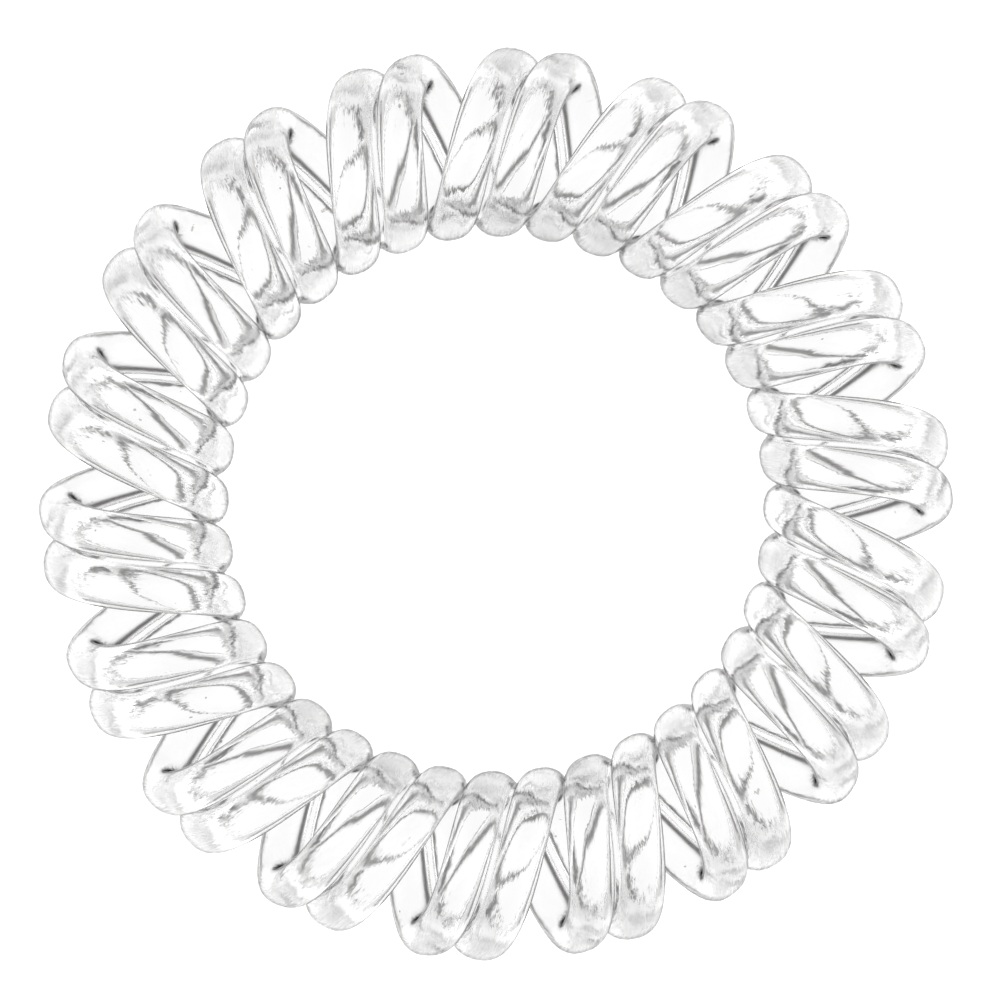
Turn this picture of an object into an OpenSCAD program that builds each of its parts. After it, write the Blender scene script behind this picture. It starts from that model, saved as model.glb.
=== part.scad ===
// Spiral hair tie: one clear band of two rounded lobes, coiled many times into a closed ring.
// The ring lies on a flat surface at z = 0 with its axis along +Z.
// Angles round the ring are in degrees, clockwise from +Y as seen from above.

/* [Band] */
// Width of each of the two lobes, across the band
lobe_width = 2.4; // [1.6:0.05:2.8]
// Thickness of each lobe, from the inside to the outside of the coil
lobe_thickness = 2.14; // [1.6:0.02:2.6]
// Squareness of a lobe's outline: 2 is an ellipse, and more is flatter with tighter corners
lobe_squareness = 2.3; // [2:0.05:2.8]
// Clear width of the groove between the two lobes
groove_width = 0.27; // [0.1:0.01:0.6]
// Thickness of the web that joins the two lobes in the groove
web_thickness = 0.6; // [0.5:0.05:1.4]
// How far the web's middle lies inside the band's middle, so that the outer groove is the deeper one
web_inset = 0.2; // [0:0.05:0.2]

/* [Coil] */
// Number of turns in the whole ring
turns = 18; // [14:1:20]
// Overall width of one turn, measured along the ring's radius
coil_width = 10.11; // [8:0.01:13]
// Overall height of one turn
coil_height = 7.74; // [6.8:0.01:11]
// Clear gap between neighbouring turns where they pass the ring's inner rim
turn_gap = 0.165; // [0.1:0.005:1]
// Angle round the ring at which the first turn passes the inner rim
start_angle = 16.2; // [0:0.2:20]

/* [Detail] */
// Cross-sections in one turn, a multiple of four so that they lie at the top, the bottom and both rims
sections = 16; // [12:4:16]
// Flat sides on the outer half of each lobe
outer_sides = 5; // [4:1:6]

/* [Hidden] */

// Whole counts of turns and of cross-sections
turn_count = round(turns);
section_count = round(sections);

// Centre of each lobe from the middle of the band
lobe_offset = (lobe_width + groove_width) / 2;
// Directions in a lobe, from its middle, at which its outline meets the web outside and inside the coil
function web_angle(height) = asin(pow(height / (lobe_thickness / 2), lobe_squareness / 2));
web_outside = web_angle(web_thickness / 2 - web_inset);
web_inside = web_angle(web_thickness / 2 + web_inset);

// Radii of the band's centre line within one turn
coil_radius_r = (coil_width - lobe_thickness) / 2;
coil_radius_z = (coil_height - lobe_thickness) / 2;

// Room that one turn takes across the band, and the arc that it takes round the inner rim.
// The band leans as it passes the inner rim, so the arc is a little longer than the room.
turn_room = 2 * lobe_offset + lobe_width + turn_gap;
lean = turn_room / (2 * PI * coil_radius_z);
inner_pitch = turn_room / sqrt(1 - lean * lean);
inner_radius = turn_count * inner_pitch / (2 * PI);

// Ring radius at the middle of the coil, and height of the middle over the floor
ring_radius = inner_radius + coil_radius_r;
middle_height = coil_height / 2;

// Directions of the profile's points round the right lobe: from the web inside the coil to its outside
lobe_angles = concat(
    [web_inside - 180, (web_inside - 270) / 2],
    [for (i = [0 : outer_sides]) -90 + i * 180 / outer_sides],
    [(270 - web_outside) / 2, 180 - web_outside]
);

// A sine or cosine stretched to the lobe's squareness
function squared(part) = sign(part) * pow(abs(part), 2 / lobe_squareness);

// The profile as [across the band, outward from the middle of the coil]
right_lobe = [
    for (a = lobe_angles)
        [lobe_offset + lobe_width / 2 * squared(cos(a)), lobe_thickness / 2 * squared(sin(a))]
];
last_point = len(right_lobe) - 1;
left_lobe = [for (k = [last_point : -1 : 0]) [-right_lobe[k][0], right_lobe[k][1]]];
profile = concat(right_lobe, left_lobe);

// Directions at one place: outward along the ring's radius, clockwise round the ring, and up
function out_dir(around) = [sin(around), cos(around), 0];
function round_dir(around) = [cos(around), -sin(around), 0];
up_dir = [0, 0, 1];

// A point of the band's profile.
// The angle in the turn is 0 at the inner rim, 90 at the top, 180 at the outer rim and 270 below.
// The band's direction has a part within the turn and a part round the ring.
function band_point(in_turn, around, p) =
    let (radius = ring_radius - coil_radius_r * cos(in_turn))
    let (along_r = coil_radius_r * sin(in_turn))
    let (along_z = coil_radius_z * cos(in_turn))
    let (in_plane = norm([along_r, along_z]))
    let (along_round = radius / turn_count)
    let (whole = norm([in_plane, along_round]))
    let (turn_dir = (along_r * out_dir(around) + along_z * up_dir) / in_plane)
    let (across = (in_plane * round_dir(around) - along_round * turn_dir) / whole)
    let (outward = (along_r * up_dir - along_z * out_dir(around)) / in_plane)
    radius * out_dir(around)
        + (middle_height + coil_radius_z * sin(in_turn)) * up_dir
        + p[0] * across
        + p[1] * outward;

// The whole band, closed on itself after the last turn. Its first cross-section lies at the bottom.
module coil_band() {
    steps = turn_count * section_count;
    size = len(profile);
    points = [
        for (i = [0 : steps - 1])
            let (in_turn = 270 + i * 360 / section_count)
                for (p = profile)
                    band_point(in_turn, start_angle + in_turn / turn_count, p)
    ];
    faces = [
        for (i = [0 : steps - 1])
            for (k = [0 : size - 1])
                let (next_i = (i + 1) % steps)
                let (next_k = (k + 1) % size)
                let (a = i * size + k)
                let (b = i * size + next_k)
                let (c = next_i * size + next_k)
                let (d = next_i * size + k)
                each [[a, b, c], [a, c, d]]
    ];
    color("WhiteSmoke")
        polyhedron(points = points, faces = faces, convexity = 10);
}

coil_band();
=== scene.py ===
import math

import bpy
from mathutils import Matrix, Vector


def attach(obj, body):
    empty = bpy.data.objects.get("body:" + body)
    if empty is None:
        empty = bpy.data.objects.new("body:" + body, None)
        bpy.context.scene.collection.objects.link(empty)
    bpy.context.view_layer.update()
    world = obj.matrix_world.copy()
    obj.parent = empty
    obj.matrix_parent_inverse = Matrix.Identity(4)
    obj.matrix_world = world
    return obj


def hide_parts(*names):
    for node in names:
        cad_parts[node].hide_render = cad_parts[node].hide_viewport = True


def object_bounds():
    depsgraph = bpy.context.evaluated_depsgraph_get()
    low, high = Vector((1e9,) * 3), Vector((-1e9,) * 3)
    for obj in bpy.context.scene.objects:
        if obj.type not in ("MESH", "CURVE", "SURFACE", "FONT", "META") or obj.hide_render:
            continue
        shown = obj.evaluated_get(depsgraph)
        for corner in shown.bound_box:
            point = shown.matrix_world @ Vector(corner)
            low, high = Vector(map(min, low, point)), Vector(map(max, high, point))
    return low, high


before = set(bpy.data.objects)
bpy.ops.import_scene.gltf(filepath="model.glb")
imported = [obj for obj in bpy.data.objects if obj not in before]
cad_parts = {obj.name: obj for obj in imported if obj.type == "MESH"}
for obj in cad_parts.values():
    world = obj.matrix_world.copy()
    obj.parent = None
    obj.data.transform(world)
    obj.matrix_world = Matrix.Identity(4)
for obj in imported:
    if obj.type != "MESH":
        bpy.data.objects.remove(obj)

CAD_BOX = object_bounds()

# The tie's sizes, in metres and degrees, as the CAD part has them
LOBE_WIDTH = 0.0024
LOBE_THICKNESS = 0.00214
LOBE_SQUARENESS = 2.3
GROOVE_WIDTH = 0.00027
WEB_THICKNESS = 0.0006
WEB_INSET = 0.0002
TURNS = 18
COIL_WIDTH = 0.01011
COIL_HEIGHT = 0.00774
TURN_GAP = 0.000165
START_ANGLE = 16.2
# Place in its turn of the band's first cross-section: 0 is the inner rim, 90 the top and 270 the bottom
FIRST_PLACE = 270

# How finely the smooth band is drawn
RINGS_PER_TURN = 56
POINTS_PER_LOBE = 42
POINTS_PER_WEB = 5
# The smooth band stays this much inside the box of the CAD part, whose facets cut its curves short
BOX_MARGIN = 0.00001
# Name of its UV map
BAND_MAP = "band"

# The photograph in pixels: its width, its ring's centre and width, and how high the camera is over the ring
PHOTO_WIDTH = 1000
PHOTO_CENTRE = (496, 504)
PHOTO_RING_WIDTH = 914
PHOTO_CAMERA_HEIGHT = 1250
# Width of the ring as the camera sees it, in metres at its middle height: a little over its true width
RING_WIDTH_SEEN = 0.0498
METRES_PER_PIXEL = RING_WIDTH_SEEN / PHOTO_RING_WIDTH
CAMERA_DISTANCE = PHOTO_CAMERA_HEIGHT * METRES_PER_PIXEL
# The camera's sensor in mm, and the nearest and farthest that it sees in metres
SENSOR_WIDTH = 36
CLIP_START = 0.005
CLIP_END = 10

# Brightness of the surroundings by their angle from straight down:
# a light table, the darker room round it, light walls and a greyer ceiling
SURROUNDINGS = (
    (0, 0.98), (29, 0.98), (33, 0.85), (37, 0.3), (40, 0.12), (46, 0.12), (50, 0.38), (55, 0.68),
    (60, 0.62), (63, 0.48), (66, 0.52), (71, 0.9), (84, 0.9), (95, 0.73), (140, 0.62), (155, 0.76),
    (180, 0.85),
)
# The warm tint of the surroundings where they are dark
DARK_TINT = (1, 0.97, 0.96)
# Two softboxes, left and right of the tie: how far out and up they stand, how narrow they are and how bright
SOFTBOX_OUT = 0.85
SOFTBOX_UP = 0.5
SOFTBOX_FOCUS = 3
SOFTBOX_LIGHT = 1.15
# How often light may bend or bounce on its way through the plastic
BOUNCES = 24

# The floor: half its width in metres, and its surface
FLOOR_HALF = 2
FLOOR_COLOUR = (0.9, 0.9, 0.9, 1)
FLOOR_ROUGHNESS = 0.6
FLOOR_GLOW_COLOUR = (1, 1, 1, 1)
FLOOR_GLOW = 0.8

# The plastic
PLASTIC_COLOUR = (1, 1, 1, 1)
PLASTIC_ROUGHNESS = 0.03
PLASTIC_IOR = 1.5
# Marks in its surface, from fine hairs to slow waves: how far each kind tilts it sideways and lengthwise,
# the length and width of its grain in mm, and how many finer grains are laid over it
MARKS = (
    (0.12, 0.22, 0.5, 0.035, 1),
    (0.05, 0.05, 2, 0.16, 1),
    (0.05, 0.05, 9, 2.5, 0),
)
# How far apart in the noise the kinds of marks lie
MARKS_APART = 100
# The band's length and the way round its outline, both rough and in mm, which give the marks their scale
BAND_LENGTH = 387
BAND_GIRTH = 14
# Specks in it: the length and width of their grain in mm, where they lie in the noise, and the level of
# noise above which there is a speck
SPECK_LENGTH = 0.3
SPECK_WIDTH = 0.2
SPECK_PLACE = 50
SPECK_LEVEL = 0.87
SPECK_COLOUR = (0.3, 0.28, 0.26, 1)
# Painted shade: a dark outline painted into the plastic's colour where the surface is seen edge-on. How
# nearly edge-on the surface is, from 0 to 1, where this painted outline starts and where it is full
PAINTED_OUTLINE_START = 0.6
PAINTED_OUTLINE_FULL = 0.78
PAINTED_SHADE_COLOUR = (0, 0, 0, 1)
# A Mix node's sockets for two colours and for the result
MIX_INPUTS = (6, 7)
MIX_OUTPUT = 2

# Centre of each lobe from the middle of the band
LOBE_OFFSET = (LOBE_WIDTH + GROOVE_WIDTH) / 2
# Radii of the band's centre line within one turn
COIL_RADIUS_R = (COIL_WIDTH - LOBE_THICKNESS) / 2
COIL_RADIUS_Z = (COIL_HEIGHT - LOBE_THICKNESS) / 2
# Room that one turn takes across the band, and the arc that it takes round the inner rim, where it leans
TURN_ROOM = 2 * LOBE_OFFSET + LOBE_WIDTH + TURN_GAP
LEAN = TURN_ROOM / (2 * math.pi * COIL_RADIUS_Z)
INNER_PITCH = TURN_ROOM / math.sqrt(1 - LEAN * LEAN)
# Ring radius at the middle of the coil
RING_RADIUS = TURNS * INNER_PITCH / (2 * math.pi) + COIL_RADIUS_R


def squared(part):
    """A sine or cosine stretched to the lobe's squareness."""
    return math.copysign(abs(part) ** (2 / LOBE_SQUARENESS), part)


def web_angle(height):
    """The direction in a lobe, from its middle, at which its outline meets the web at this height."""
    return math.asin((height / (LOBE_THICKNESS / 2)) ** (LOBE_SQUARENESS / 2))


def lobe_profile():
    """The right lobe's outline, from the web inside the coil to the web outside it, as (across, outward)."""
    start = web_angle(WEB_THICKNESS / 2 + WEB_INSET) - math.pi
    end = math.pi - web_angle(WEB_THICKNESS / 2 - WEB_INSET)
    points = []
    for i in range(POINTS_PER_LOBE + 1):
        angle = start + (end - start) * i / POINTS_PER_LOBE
        across = LOBE_OFFSET + LOBE_WIDTH / 2 * squared(math.cos(angle))
        outward = LOBE_THICKNESS / 2 * squared(math.sin(angle))
        points.append((across, outward))
    return points


def between(start, end):
    """Points on the flat of the web, between two corners of the outline."""
    points = []
    for i in range(1, POINTS_PER_WEB):
        share = i / POINTS_PER_WEB
        points.append(tuple(a + (b - a) * share for a, b in zip(start, end)))
    return points


def band_profile():
    """The whole outline: the right lobe, the web outside the coil, the left lobe and the web inside it."""
    right = lobe_profile()
    left = [(-across, outward) for across, outward in reversed(right)]
    return right + between(right[-1], left[0]) + left + between(left[-1], right[0])


def band_place(in_turn, around):
    """A centre-line point and the directions across the band and outward from the coil there."""
    out_dir = Vector((math.sin(around), math.cos(around), 0))
    round_dir = Vector((math.cos(around), -math.sin(around), 0))
    up_dir = Vector((0, 0, 1))
    radius = RING_RADIUS - COIL_RADIUS_R * math.cos(in_turn)
    along_r = COIL_RADIUS_R * math.sin(in_turn)
    along_z = COIL_RADIUS_Z * math.cos(in_turn)
    in_plane = math.hypot(along_r, along_z)
    along_round = radius / TURNS
    turn_dir = (along_r * out_dir + along_z * up_dir) / in_plane
    across = (in_plane * round_dir - along_round * turn_dir) / math.hypot(in_plane, along_round)
    outward = (along_r * up_dir - along_z * out_dir) / in_plane
    height = COIL_HEIGHT / 2 + COIL_RADIUS_Z * math.sin(in_turn)
    return radius * out_dir + height * up_dir, across, outward


def fitted(points):
    """The points drawn in a little about their middle, so that they stay inside the CAD part's box."""
    shares = []
    middle = Vector()
    for axis in range(3):
        low = min(p[axis] for p in points)
        high = max(p[axis] for p in points)
        room = CAD_BOX[1][axis] - CAD_BOX[0][axis] - 2 * BOX_MARGIN
        shares.append(room / (high - low))
        middle[axis] = (low + high) / 2
    share = min(shares)
    return [middle + (p - middle) * share for p in points]


def band_points(profile):
    """The points of every cross-section, one cross-section after the other."""
    points = []
    for i in range(TURNS * RINGS_PER_TURN):
        in_turn = math.radians(FIRST_PLACE) + 2 * math.pi * i / RINGS_PER_TURN
        around = math.radians(START_ANGLE) + in_turn / TURNS
        centre, across, outward = band_place(in_turn, around)
        points += [centre + a * across + o * outward for a, o in profile]
    return points


def band_corners(size):
    """Each face's four corners as (cross-section, point in it), with size points in a cross-section.

    The last face of a row or a column ends one past the last number, which is the first again.
    """
    faces = []
    for i in range(TURNS * RINGS_PER_TURN):
        for k in range(size):
            faces.append(((i, k), (i + 1, k), (i + 1, k + 1), (i, k + 1)))
    return faces


def make_band():
    """The smooth band: one closed mesh with a UV map, turns along the band and shares round it."""
    profile = band_profile()
    steps = TURNS * RINGS_PER_TURN
    size = len(profile)
    corners = band_corners(size)
    points = [tuple(point) for point in fitted(band_points(profile))]
    faces = [[i % steps * size + k % size for i, k in face] for face in corners]
    mesh = bpy.data.meshes.new("coil_band_smooth")
    mesh.from_pydata(points, [], faces)
    places = [part for face in corners for i, k in face for part in (i / RINGS_PER_TURN, k / size)]
    mesh.uv_layers.new(name=BAND_MAP).data.foreach_set("uv", places)
    mesh.polygons.foreach_set("use_smooth", [True] * len(faces))
    mesh.update()
    band = bpy.data.objects.new("coil_band_smooth", mesh)
    bpy.context.scene.collection.objects.link(band)
    return band


def maths(tree, operation, *values):
    """A Math node's output, from numbers and other nodes' outputs."""
    node = tree.nodes.new("ShaderNodeMath")
    node.operation = operation
    for socket, value in zip(node.inputs, values):
        if isinstance(value, (int, float)):
            socket.default_value = value
        else:
            tree.links.new(value, socket)
    return node.outputs[0]


def vector_maths(tree, operation, *vectors):
    """A Vector Math node's output, from other nodes' outputs."""
    node = tree.nodes.new("ShaderNodeVectorMath")
    node.operation = operation
    for socket, vector in zip(node.inputs, vectors):
        tree.links.new(vector, socket)
    return node.outputs[0]


def scaled(tree, vector, amount):
    """A vector times a number, both from other nodes' outputs."""
    node = tree.nodes.new("ShaderNodeVectorMath")
    node.operation = "SCALE"
    tree.links.new(vector, node.inputs[0])
    tree.links.new(amount, node.inputs["Scale"])
    return node.outputs[0]


def mixed(tree, amount, first, second):
    """A colour that goes from the first to the second with the amount."""
    node = tree.nodes.new("ShaderNodeMix")
    node.data_type = "RGBA"
    tree.links.new(amount, node.inputs["Factor"])
    for number, colour in zip(MIX_INPUTS, (first, second)):
        if isinstance(colour, tuple):
            node.inputs[number].default_value = colour
        else:
            tree.links.new(colour, node.inputs[number])
    return node.outputs[MIX_OUTPUT]


def place_on_band(tree, long, wide, shift):
    """A place for noise with grains this long and wide in mm, which joins up where the band closes."""
    uv = tree.nodes.new("ShaderNodeUVMap")
    uv.uv_map = BAND_MAP
    split = tree.nodes.new("ShaderNodeSeparateXYZ")
    tree.links.new(uv.outputs[0], split.inputs[0])
    angle = maths(tree, "MULTIPLY", split.outputs["X"], 2 * math.pi / TURNS)
    reach = BAND_LENGTH / (2 * math.pi * long)
    across = maths(tree, "MULTIPLY_ADD", split.outputs["Y"], BAND_GIRTH / wide, shift)
    place = tree.nodes.new("ShaderNodeCombineXYZ")
    tree.links.new(maths(tree, "MULTIPLY", maths(tree, "COSINE", angle), reach), place.inputs["X"])
    tree.links.new(maths(tree, "MULTIPLY", maths(tree, "SINE", angle), reach), place.inputs["Y"])
    tree.links.new(across, place.inputs["Z"])
    return place.outputs[0]


def grain(tree, long, wide, shift, detail):
    """Noise from 0 to 1 in grains this long and wide in mm."""
    noise = tree.nodes.new("ShaderNodeTexNoise")
    noise.inputs["Scale"].default_value = 1
    noise.inputs["Detail"].default_value = detail
    tree.links.new(place_on_band(tree, long, wide, shift), noise.inputs["Vector"])
    return noise.outputs[0]


def marked_normal(tree):
    """The surface's direction, tilted by the marks."""
    sideways = 0
    lengthwise = 0
    for number, (side, fore, long, wide, detail) in enumerate(MARKS):
        noise = grain(tree, long, wide, MARKS_APART * number, detail)
        # The noise's middle is 0.5, so that half the marks tilt each way
        height = maths(tree, "SUBTRACT", noise, 0.5)
        sideways = maths(tree, "MULTIPLY_ADD", height, 2 * side, sideways)
        lengthwise = maths(tree, "MULTIPLY_ADD", height, 2 * fore, lengthwise)
    along = tree.nodes.new("ShaderNodeTangent")
    along.direction_type = "UV_MAP"
    along.uv_map = BAND_MAP
    normal = tree.nodes.new("ShaderNodeNewGeometry").outputs["Normal"]
    across = vector_maths(tree, "CROSS_PRODUCT", normal, along.outputs[0])
    tilted = vector_maths(tree, "ADD", normal, scaled(tree, across, sideways))
    tilted = vector_maths(tree, "ADD", tilted, scaled(tree, along.outputs[0], lengthwise))
    return vector_maths(tree, "NORMALIZE", tilted)


def specks(tree):
    """1 in a dark speck here and there, and 0 elsewhere."""
    noise = grain(tree, SPECK_LENGTH, SPECK_WIDTH, SPECK_PLACE, 0)
    return maths(tree, "GREATER_THAN", noise, SPECK_LEVEL)


def outline(tree):
    """Painted shade: 1 where the clear surface is seen edge-on, so that a dark outline is painted into its
    colour, and 0 elsewhere.
    """
    weight = tree.nodes.new("ShaderNodeLayerWeight")
    smooth = tree.nodes.new("ShaderNodeMapRange")
    smooth.interpolation_type = "SMOOTHSTEP"
    smooth.inputs["From Min"].default_value = PAINTED_OUTLINE_START
    smooth.inputs["From Max"].default_value = PAINTED_OUTLINE_FULL
    tree.links.new(weight.outputs["Facing"], smooth.inputs["Value"])
    return smooth.outputs[0]


def clear_plastic():
    """Clear, colourless, glossy elastic plastic, with fine marks along the band, a few specks, and a dark
    outline painted as shade where it is seen edge-on.
    """
    material = bpy.data.materials.new("clear_plastic")
    material.use_nodes = True
    tree = material.node_tree
    shader = tree.nodes["Principled BSDF"]
    shader.inputs["Roughness"].default_value = PLASTIC_ROUGHNESS
    shader.inputs["IOR"].default_value = PLASTIC_IOR
    shader.inputs["Transmission Weight"].default_value = 1
    speckled = mixed(tree, specks(tree), PLASTIC_COLOUR, SPECK_COLOUR)
    # The dark outline is painted shade: black mixed into the colour where the surface is seen edge-on
    shade_painted = mixed(tree, outline(tree), speckled, PAINTED_SHADE_COLOUR)
    tree.links.new(shade_painted, shader.inputs["Base Color"])
    tree.links.new(marked_normal(tree), shader.inputs["Normal"])
    return material


def white_floor():
    """The floor's surface, matt and white, with a glow that hides the tie's shadow as in the photograph."""
    material = bpy.data.materials.new("white_floor")
    material.use_nodes = True
    shader = material.node_tree.nodes["Principled BSDF"]
    shader.inputs["Base Color"].default_value = FLOOR_COLOUR
    shader.inputs["Roughness"].default_value = FLOOR_ROUGHNESS
    shader.inputs["Emission Color"].default_value = FLOOR_GLOW_COLOUR
    shader.inputs["Emission Strength"].default_value = FLOOR_GLOW
    # The paths find the glow by themselves, as they find the surroundings in make_light
    material.cycles.emission_sampling = "NONE"
    return material


def make_floor():
    """A plain floor. What is seen through the plastic is the surroundings' lower half, not the floor."""
    ends = ((-1, -1), (1, -1), (1, 1), (-1, 1))
    corners = [(x * FLOOR_HALF, y * FLOOR_HALF, 0) for x, y in ends]
    mesh = bpy.data.meshes.new("floor")
    mesh.from_pydata(corners, [], [(0, 1, 2, 3)])
    mesh.materials.append(white_floor())
    floor = bpy.data.objects.new("floor", mesh)
    bpy.context.scene.collection.objects.link(floor)
    floor.visible_transmission = False


def surroundings_colour(brightness):
    """A grey of this brightness, the warmer the darker it is."""
    return [brightness * (brightness + (1 - brightness) * tint) for tint in DARK_TINT] + [1]


def surroundings(tree, height):
    """The colour of the surroundings, from the upward part of the direction in which they lie."""
    # The upward part goes from -1 straight down to 1 straight up, and the ramp from 0 to 1
    ramp = tree.nodes.new("ShaderNodeValToRGB")
    tree.links.new(maths(tree, "MULTIPLY_ADD", height, 0.5, 0.5), ramp.inputs[0])
    stops = ramp.color_ramp.elements
    while len(stops) < len(SURROUNDINGS):
        stops.new(0.5)
    for stop, (angle, brightness) in zip(stops, SURROUNDINGS):
        stop.position = (1 - math.cos(math.radians(angle))) / 2
        stop.color = surroundings_colour(brightness)
    return ramp.outputs[0]


def softboxes(tree, side, height):
    """The light of a softbox on the left and one on the right."""
    out = maths(tree, "MULTIPLY", maths(tree, "ABSOLUTE", side), SOFTBOX_OUT)
    towards = maths(tree, "MULTIPLY_ADD", height, SOFTBOX_UP, out)
    focused = maths(tree, "POWER", maths(tree, "MAXIMUM", towards, 0), SOFTBOX_FOCUS)
    brightness = maths(tree, "MULTIPLY", focused, SOFTBOX_LIGHT)
    glow = tree.nodes.new("ShaderNodeCombineXYZ")
    for socket in glow.inputs:
        tree.links.new(brightness, socket)
    return glow.outputs[0]


def make_light():
    """Soft light from all round: the surroundings and the two softboxes."""
    world = bpy.data.worlds.new("studio")
    bpy.context.scene.world = world
    world.use_nodes = True
    # The paths through the plastic find the light by themselves, so none is spent on looking for it
    world.cycles.sampling_method = "NONE"
    tree = world.node_tree
    coords = tree.nodes.new("ShaderNodeTexCoord")
    split = tree.nodes.new("ShaderNodeSeparateXYZ")
    tree.links.new(coords.outputs["Generated"], split.inputs[0])
    side = split.outputs["X"]
    height = split.outputs["Z"]
    light = vector_maths(tree, "ADD", surroundings(tree, height), softboxes(tree, side, height))
    tree.links.new(light, tree.nodes["Background"].inputs["Color"])


def make_camera():
    """A camera over the photograph's centre, looking straight down."""
    data = bpy.data.cameras.new("camera")
    data.sensor_width = SENSOR_WIDTH
    data.lens = SENSOR_WIDTH * CAMERA_DISTANCE / (PHOTO_WIDTH * METRES_PER_PIXEL)
    data.clip_start = CLIP_START
    data.clip_end = CLIP_END
    camera = bpy.data.objects.new("camera", data)
    bpy.context.scene.collection.objects.link(camera)
    right = (PHOTO_WIDTH / 2 - PHOTO_CENTRE[0]) * METRES_PER_PIXEL
    up = (PHOTO_CENTRE[1] - PHOTO_WIDTH / 2) * METRES_PER_PIXEL
    camera.location = (right, up, COIL_HEIGHT / 2 + CAMERA_DISTANCE)
    bpy.context.scene.camera = camera


def set_render():
    """Plain colours, and light that gets through many layers of plastic."""
    scene = bpy.context.scene
    scene.view_settings.view_transform = "Standard"
    scene.cycles.max_bounces = BOUNCES
    scene.cycles.glossy_bounces = BOUNCES
    scene.cycles.transmission_bounces = BOUNCES
    scene.cycles.sample_clamp_indirect = 0
    scene.cycles.caustics_reflective = True


make_camera()
make_light()
make_floor()
set_render()
band = make_band()
band.data.materials.append(clear_plastic())
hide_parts("coil_band")
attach(band, "root")
